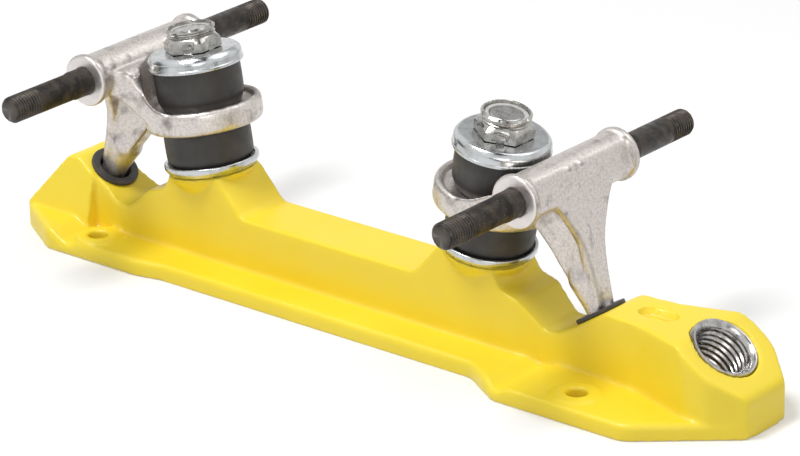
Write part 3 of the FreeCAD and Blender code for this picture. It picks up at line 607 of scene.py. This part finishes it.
def makeNut(end):
    size, low = stack["nut"], stack["upperWasher"]["top"]
    flats, hexHigh, notchWide = size["flats"], size["hexHigh"], size["notchWide"]
    corner = 1.04  # stands for the hexagon's own radius; below one are shares of its inner circle
    outline = [(size["bore"], 0), (size["footRound"], size["seatGap"]), (corner, size["foot"]),
               (corner, hexHigh - size["shoulder"]), (size["topRound"], hexHigh)]
    outline += [(r, hexHigh + z) for r, z in size["collar"]]

    def hexSide(r, z, angle):
        if r > 2:
            notch = max(0.0, math.cos(size["notches"] * angle) - 1 + notchWide) / notchWide
            return r, low + z - (size["notchDeep"] * notch if z > size["notchAbove"] else 0)
        if r < 1:
            return flats / 2 * r, low + z
        side = hexRadius(flats, angle)
        beyond = side - flats / 2
        drop = beyond * size["topDrop"] if z > hexHigh / 2 else -beyond * size["footRise"]
        return side, low + z - drop

    shape = turnedShape(outline, 0, 96, hexSide)
    piece = addPiece(end + "LockNut", [shape], truckPlace(end) @ kingpinLine(), size["crease"])
    dress(piece, nutZinc, "nut_plating", end + "_nut", end + "_lock_nut")
    ring = stack["ring"]
    inner, outer, low, high = size["bore"], ring["radius"], ring["low"], ring["high"]
    shape = turnedShape([(inner, low), (outer, low), (outer, high), (inner, high)], ring["easing"], 64)
    piece = addPiece(end + "LockRing", [shape], truckPlace(end) @ kingpinLine())
    dress(piece, lockRingNylon, "nut_ring_nylon", end + "_nut", end + "_nut_ring")


pivotCup = {"flange": 7.5, "flangeThick": 1.2, "radius": 6.0, "depth": 10.0, "mouth": 4.9, "cavity": 4.7,
            "easing": 0.45}


def makePivotCup(end):
    size, middle = pivotCup, -trucks["ballDepth"]
    under, cavity, mouth = -size["flangeThick"], size["cavity"], size["mouth"]
    hollow = [(cavity * math.cos(a), middle - cavity * math.sin(a)) for a in (0.3, 0.6, 0.9, 1.2)]
    shape = turnedShape([
        (0, under - size["depth"]), (size["radius"], under - size["depth"]), (size["radius"], under),
        (size["flange"], under), (size["flange"], 0), (mouth, 0), (mouth, middle), *hollow,
        (0, middle - cavity)], size["easing"], 64)
    piece = addPiece(end + "PivotCup", [shape], truckPlace(end) @ pivotLine())
    dress(piece, blackRubber, "cup_rubber", "base", end + "_pivot_cup")


print("cushion stacks")
for end in ends:
    makeLowerWasher(end)
    makeUpperWasher(end)
    for which in ("lower", "upper"):
        makeCushion(end, which)
    makeKingpin(end)
    makeNut(end)
    makePivotCup(end)


# Axles: black oxide rods with rolled threads at the ends

axle = {
    "radius": 4.0,
    "length": 111.0,
    "shoulder": 4.25,
    "shoulderLong": 5.5,
    "shoulderAt": (0.25, -0.05, -0.4),  # stations about the shoulder's end
    "faceAt": (0.4, 0.01, -0.01),       # stations about the hanger's end face
    "threadLong": 10.5,
    "pitch": 1.06,
    "rowsPerPitch": 10,
    "threadDeep": 0.42,
    "chamfer": 0.9,
    "spans": 48,
    "crease": 50,
}


def axleRadius(along, angle):
    size, face = axle, trucks["hangerWidth"] / 2
    fromTip = size["length"] / 2 - abs(along)
    radius = size["radius"]
    if face <= abs(along) < face + size["shoulderLong"]:
        radius = size["shoulder"]
    if fromTip < size["threadLong"]:
        run = min(1.0, (size["threadLong"] - fromTip) / size["pitch"])
        wave = 0.5 - 0.5 * math.cos(2 * math.pi * along / size["pitch"] - angle)
        radius = min(radius - size["threadDeep"] * run * wave, size["radius"] - size["chamfer"] + fromTip)
    return radius


def makeAxle(end):
    size, face = axle, trucks["hangerWidth"] / 2
    tip, step = size["length"] / 2, size["pitch"] / size["rowsPerPitch"]
    half = [tip - k * step for k in range(int(size["threadLong"] / step) + 1)]
    half += [face + size["shoulderLong"] + offset for offset in size["shoulderAt"]]
    half += [face + offset for offset in size["faceAt"]]
    stations = sorted([-z for z in half] + half)
    rings = []
    for k in range(size["spans"]):
        angle = 2 * math.pi * k / size["spans"]
        ring = [(0, 0, stations[0])]
        for z in stations:
            radius = axleRadius(z, angle)
            ring.append((radius * math.cos(angle), radius * math.sin(angle), z))
        rings.append(ring + [(0, 0, stations[-1])])
    piece = addPiece(end + "Axle", [gridShape(rings)], truckPlace(end) @ axleLine(), size["crease"])
    dress(piece, blackOxide, "axle_steel", end + "_truck", end + "_axle")


print("axles")
for end in ends:
    makeAxle(end)


# Cast hangers: shells fused, bored and softened like a tumbled casting.
# Outlines in the side view are (outboard, height) from the kingpin's foot.

hanger = {
    "voxel": 0.5,
    "fineVoxel": 0.4,
    "passes": 5,
    "bar": 7.0,
    "barSpans": 64,
    "collar": 7.9,
    "collarLong": 2.6,
    "collarEdge": 0.35,
    "webLean": 14.0,
    "webOffset": 5.6,
    "webThick": 3.2,
    "webRim": (0.4, 0.5, 0.3),  # front rims cut back along and across the axle, back rim along it
    "webHalf": [(61.0, 19.8), (58.0, 16.6), (54.6, 13.4), (50.3, 10.0), (44.9, 6.9), (39.5, 4.7),
                (31.6, 3.6), (23.0, 3.3)],  # height and half width
    "gussetHalf": 3.0,
    "gussetEdge": 0.5,
    "gussetBack": [(20.0, 45.0), (23.2, 42.8), (28.5, 37.5), (33.4, 31.6), (38.0, 26.2), (41.7, 21.4)],
    "gussetFront": [(21.4, 2), (24, 1), (57, 1)],  # height and depth behind the web's front
    "gussetTop": [(33.0, 62.0), (24.4, 60.0), (16.0, 51.0)],
    "rootHalf": 6.0,  # the root fills the corner between the ring, the arms and the gusset
    "root": [(19.0, 45.0), (25.4, 45.0), (26.3, 48.0), (27.2, 51.5), (28.5, 54.0), (19.0, 52.5)],
    "armHalf": 14.4,
    "armEdge": 0.8,
    "armFlare": {"from": 20.0, "to": 30.0, "extra": 5.2},  # wider towards the collars
    "armTop": [(33.5, 60.5), (28.8, 60.4), (25.8, 60.5), (24.2, 60.2), (22.5, 58.9), (21.3, 57.0),
               (20.0, 55.1), (18.4, 53.9), (16.6, 53.1), (13.9, 52.1), (11.6, 51.5), (9.2, 51.2),
               (7.4, 51.0)],
    "armLow": [(7.4, 44.2), (13.3, 44.8), (20.2, 45.6), (23.0, 47.8), (25.8, 50.8), (29.0, 53.6),
               (33.5, 55.5)],
    "ring": 17.7,
    "ringOut": 8.8,
    "ringLow": 44.0,
    "ringHigh": 51.5,
    "ringEasing": 2.0,
    "seat": (46.2, 49.4),
    "pocket": 15.3,
    "pocketFlare": {"low": -1.0, "high": 0.8, "extra": 1.3},  # about the top of the ring
    "hole": 6.6,
    "boreReach": (30, 84),
    "boreEasing": 0.5,
    "axleSlack": 0.02,
    "stem": [(3.9, 2.0), (4.9, 10.0), (3.0, 15.0)],  # radius and height above the pivot cup
    "stemEasing": 0.5,
    "ball": 4.4,
    "pips": [(38.0, -5.0, 62.6), (38.0, 0.4, 62.6)],  # plain casting pips on the bar
    "pip": 0.9,
}


def barOutline(radius, flat):
    # the bar's section, flattened where it stands out beyond the web's front plane
    size = hanger
    lean = math.radians(size["webLean"])
    outward = Vector((math.cos(lean), math.sin(lean)))
    outline = []
    for k in range(size["barSpans"]):
        angle = 2 * math.pi * k / size["barSpans"]
        point = Vector((math.cos(angle), math.sin(angle))) * radius
        beyond = point.dot(outward) - flat
        if beyond > 0:
            point -= outward * beyond
        outline.append((trucks["axleOut"] + point.x, trucks["axleHeight"] + point.y))
    return outline


def webFront(z):
    lean = math.radians(hanger["webLean"])
    return (trucks["axleOut"] + hanger["webOffset"] / math.cos(lean)
            + (trucks["axleHeight"] - z) * math.tan(lean))


def webShape():
    size = hanger
    along, across, behind = size["webRim"]
    rings = []
    for z, half in curveThrough(size["webHalf"], 4):
        front = webFront(z)
        back = front - size["webThick"]
        rings.append([(front, -half + along, z), (front, half - along, z), (front - across, half, z),
                      (back, half - behind, z), (back, -half + behind, z), (front - across, -half, z)])
    return cappedShape(rings)


def collarShapes():
    # full discs at the bar's two ends
    size = hanger
    half = size["collarLong"] / 2
    points, faces = slabShape(barOutline(size["collar"], size["collar"]), half, size["collarEdge"])
    middle = trucks["hangerWidth"] / 2 - half
    return [([(x, y + side * middle, z) for x, y, z in points], faces) for side in (1, -1)]


def gussetShape():
    size = hanger
    front = [(webFront(z) - depth, z) for z, depth in size["gussetFront"]]
    outline = [*curveThrough(size["gussetBack"]), *front, *size["gussetTop"]]
    return slabShape(outline, size["gussetHalf"], size["gussetEdge"])


def armWidth(out):
    # follows the ring, then widens towards the collars
    size, flare = hanger, hanger["armFlare"]
    t = min(1.0, max(0.0, (out - flare["from"]) / (flare["to"] - flare["from"])))
    beside = math.sqrt(max(0.0, size["ring"] ** 2 - (out - size["ringOut"]) ** 2))
    return max(beside, size["armHalf"] + flare["extra"] * t * t * (3 - 2 * t))


def armShape():
    # both arms in one slab, which the bore parts
    size = hanger
    outline = [*curveThrough(size["armTop"]), *curveThrough(size["armLow"])]
    points, faces = slabShape(outline, size["armHalf"], size["armEdge"])
    return [(x, y * armWidth(x) / size["armHalf"], z) for x, y, z in points], faces


def ringShape():
    radius, low, high = hanger["ring"], hanger["ringLow"], hanger["ringHigh"]
    return turnedShape([(0, low), (radius, low), (radius, high), (0, high)], hanger["ringEasing"], 128)


def pivotShapes():
    # the stem that leans into the cup, and its ball
    size, middle, ball = hanger, -trucks["ballDepth"], hanger["ball"]
    radius, top = size["stem"][0][0], size["stem"][-1][1]
    stem = turnedShape([(0, middle), (radius, middle), *size["stem"], (0, top)], size["stemEasing"], 48)
    arc = [(ball * math.sin(0.3 * k), middle - ball * math.cos(0.3 * k)) for k in range(1, 10)]
    bulb = turnedShape([(0, middle - ball), *arc, (0, middle + ball)], 0, 48)
    return stem, bulb


def pipShape():
    radius = hanger["pip"]
    arc = [(radius * math.cos(0.26 * k), radius * math.sin(0.26 * k)) for k in range(-5, 6)]
    return turnedShape([*arc, (0, radius), (0, -radius)], 0, 24)


def pocketShape():
    # the room for both cushions, the kingpin's hole between them, and the pocket's wider mouth
    size, flare = hanger, hanger["pocketFlare"]
    pocket, hole, high = size["pocket"], size["hole"], size["ringHigh"]
    (under, over), (low, top) = size["seat"], size["boreReach"]
    mouth = pocket + flare["extra"]
    return turnedShape([(0, low), (pocket, low), (pocket, under), (hole, under), (hole, over),
                        (pocket, over), (pocket, high + flare["low"]), (mouth, high + flare["high"]),
                        (mouth, top), (0, top)], size["boreEasing"], 128)


def makeHanger(end):
    size, width = hanger, trucks["hangerWidth"]
    bar = slabShape(barOutline(size["bar"], size["webOffset"]), (width - size["collarLong"]) / 2)
    root = slabShape(size["root"], size["rootHalf"], size["armEdge"])
    onPivot = [(*shape, pivotLine()) for shape in pivotShapes()]
    pips = [(*pipShape(), shifted(*place)) for place in size["pips"]]
    shells = [bar, *collarShapes(), webShape(), gussetShape(), root, armShape(),
              (*ringShape(), kingpinLine()), *onPivot, *pips]
    piece = addPiece(end + "Hanger", shells, Matrix.Identity(4))
    remesh(piece, size["voxel"])
    settle(piece)
    cutAway(piece, addPiece("ringBore", [pocketShape()], kingpinLine()))
    rod = axle["radius"] + size["axleSlack"]
    hollow = turnedShape([(0, -width), (rod, -width), (rod, width), (0, width)], 0, 48)
    cutAway(piece, addPiece("axleBore", [hollow], axleLine()))
    remesh(piece, size["fineVoxel"])
    soften(piece, size["passes"])
    settle(piece)
    piece.data.transform(truckPlace(end))
    smooth(piece)
    dress(piece, castAluminium, "cast_aluminium", end + "_truck", end + "_hanger")


print("hangers")
for end in ends:
    makeHanger(end)


# Toe stop bush with its thread

bush = {"radius": 10.3, "bore": 7.94, "mouth": 9.2, "depth": 15.5, "pitch": 1.9, "ridge": 0.7,
        "chamfer": (0.45, 0.9), "lip": (0.15, 0.1), "rowsPerPitch": 8, "crease": 50}


def makeBush():
    size = bush
    radius, bore, mouth = size["radius"], size["bore"], size["mouth"]
    depth, pitch = size["depth"], size["pitch"]
    rows = int(depth / pitch * size["rowsPerPitch"])
    start = mouth - bore
    wall = [(bore, -start - (depth - start) * k / rows) for k in range(rows + 1)]

    def thread(r, z, angle):
        if r > bore + 0.01 or z > -start:
            return r, z
        wave = 0.5 - 0.5 * math.cos(2 * math.pi * z / pitch - angle)
        fade = min(1.0, (-start - z) / pitch)
        return r - size["ridge"] * wave * fade, z

    (back, down), (lipWide, lipDeep) = size["chamfer"], size["lip"]
    outline = [(radius, -depth), (radius, -down), (radius - back, 0), (mouth + lipWide, 0),
               (mouth, -lipDeep), *wall]
    piece = addPiece("toeStopBush", [turnedShape(outline, 0, 96, thread)], toeLine(), size["crease"])
    dress(piece, turnedSteel, "bush_metal", "base", "toe_stop_insert")


print("toe stop bush")
makeBush()


# Studio: pale floor, soft lamps, grey flags and the camera of the photograph

studio = {
    "floorColour": 0.72,
    "floorLift": 0.25,       # shown to the camera and in reflections only
    "floorWide": 12000,
    "floorDrop": 0.1,
    "worldLight": 0.30,
    "lamps": {
        "key": {"at": (-260, -420, 1300), "size": 420, "watts": 13.5},
        "fill": {"at": (1000, -1000, 500), "size": 700, "watts": 3.6},
        "top": {"at": (350, 450, 1100), "size": 700, "watts": 3.0},
    },
    # grey flags seen only in reflections, which give metal its darker bands
    "flags": {
        "front": {"at": (1000, -1200, 330), "size": (1500, 440), "grey": 0.10},
        "back": {"at": (-620, 980, 800), "size": (1500, 560), "grey": 0.60},
        "left": {"at": (-1300, -500, 420), "size": (800, 600), "grey": 0.12},
        "above": {"at": (0, -100, 1600), "size": (1700, 1500), "grey": 0.10},
    },
}


def makePanel(name, wide, high, grey, roughness):
    # a flat panel of plain grey without shine
    x, y = wide / 2 * mm, high / 2 * mm
    mesh = bpy.data.meshes.new(name)
    mesh.from_pydata([(-x, -y, 0), (x, -y, 0), (x, y, 0), (-x, y, 0)], [], [(0, 1, 2, 3)])
    panel = bpy.data.objects.new(name, mesh)
    scene.collection.objects.link(panel)
    material, tree, shader = newMaterial(name, 0.0, roughness)
    shader.inputs["Base Color"].default_value = (grey, grey, grey, 1)
    shader.inputs["Specular IOR Level"].default_value = 0.0
    shader.inputs["Emission Color"].default_value = (1, 1, 1, 1)
    mesh.materials.append(material)
    return panel, tree, shader


def seenDirectly(tree, strength):
    # the strength for camera, mirror and glass rays, and none for light that falls on the object
    path = tree.nodes.new("ShaderNodeLightPath")
    total = path.outputs["Is Camera Ray"]
    for ray in ("Is Glossy Ray", "Is Transmission Ray"):
        step = tree.nodes.new("ShaderNodeMath")
        step.operation = "MAXIMUM"
        tree.links.new(total, step.inputs[0])
        tree.links.new(path.outputs[ray], step.inputs[1])
        total = step.outputs[0]
    scale = tree.nodes.new("ShaderNodeMath")
    scale.operation = "MULTIPLY"
    scale.inputs[1].default_value = strength
    tree.links.new(total, scale.inputs[0])
    return scale.outputs[0]


def makeFloor():
    wide = studio["floorWide"]
    floor, tree, shader = makePanel("studioFloor", wide, wide, studio["floorColour"], 0.9)
    floor.location.z = -studio["floorDrop"] * mm
    tree.links.new(seenDirectly(tree, studio["floorLift"]), shader.inputs["Emission Strength"])


def makeWorld():
    world = bpy.data.worlds.new("studio")
    scene.world = world
    world.use_nodes = True
    tree = world.node_tree
    back = tree.nodes["Background"]
    back.inputs["Color"].default_value = (1, 1, 1, 1)
    total = tree.nodes.new("ShaderNodeMath")
    total.operation = "ADD"
    total.inputs[1].default_value = studio["worldLight"]
    tree.links.new(seenDirectly(tree, 1 - studio["worldLight"]), total.inputs[0])
    tree.links.new(total.outputs[0], back.inputs["Strength"])


def makeLamp(name, lamp):
    light = bpy.data.lights.new(name, "AREA")
    light.size = lamp["size"] * mm
    light.energy = lamp["watts"]
    item = bpy.data.objects.new(name, light)
    item.location = Vector(lamp["at"]) * mm
    item.rotation_euler = (-item.location).to_track_quat("-Z", "Y").to_euler()
    scene.collection.objects.link(item)


def makeFlag(name, flag):
    item, tree, shader = makePanel(name + "Flag", *flag["size"], 0, 1.0)
    item.location = Vector(flag["at"]) * mm
    item.rotation_euler = (-item.location).to_track_quat("Z", "Y").to_euler()
    shader.inputs["Emission Strength"].default_value = flag["grey"]
    for ray in ("camera", "diffuse", "shadow", "transmission"):
        setattr(item, "visible_" + ray, False)


photo = {
    "target": (4.53, 0, 27.83),
    "azimuth": 39.816,
    "elevation": 22.024,
    "roll": -1.0,
    "distance": 1262.5,
    "lens": 197.17,
    "sensor": 36,
    "farthest": 20,  # in metres
}


def makeCamera():
    size = photo
    azimuth, elevation, roll = (math.radians(size[key]) for key in ("azimuth", "elevation", "roll"))
    level = Vector((math.cos(azimuth), math.sin(azimuth), 0))
    back = Vector((math.sin(azimuth) * math.cos(elevation), -math.cos(azimuth) * math.cos(elevation),
                   math.sin(elevation)))
    upright = back.cross(level)
    right = level * math.cos(roll) + upright * math.sin(roll)
    up = upright * math.cos(roll) - level * math.sin(roll)
    data = bpy.data.cameras.new("photoCamera")
    data.lens = size["lens"]
    data.sensor_width = size["sensor"]
    data.clip_end = size["farthest"]
    camera = bpy.data.objects.new("photoCamera", data)
    turn = Matrix((right, up, back)).transposed().to_4x4()
    place = (Vector(size["target"]) + back * size["distance"]) * mm
    camera.matrix_world = Matrix.Translation(place) @ turn
    scene.collection.objects.link(camera)
    scene.camera = camera


print("studio")
makeFloor()
makeWorld()
for name, lamp in studio["lamps"].items():
    makeLamp(name, lamp)
for name, flag in studio["flags"].items():
    makeFlag(name, flag)
makeCamera()
scene.view_settings.view_transform = "Standard"
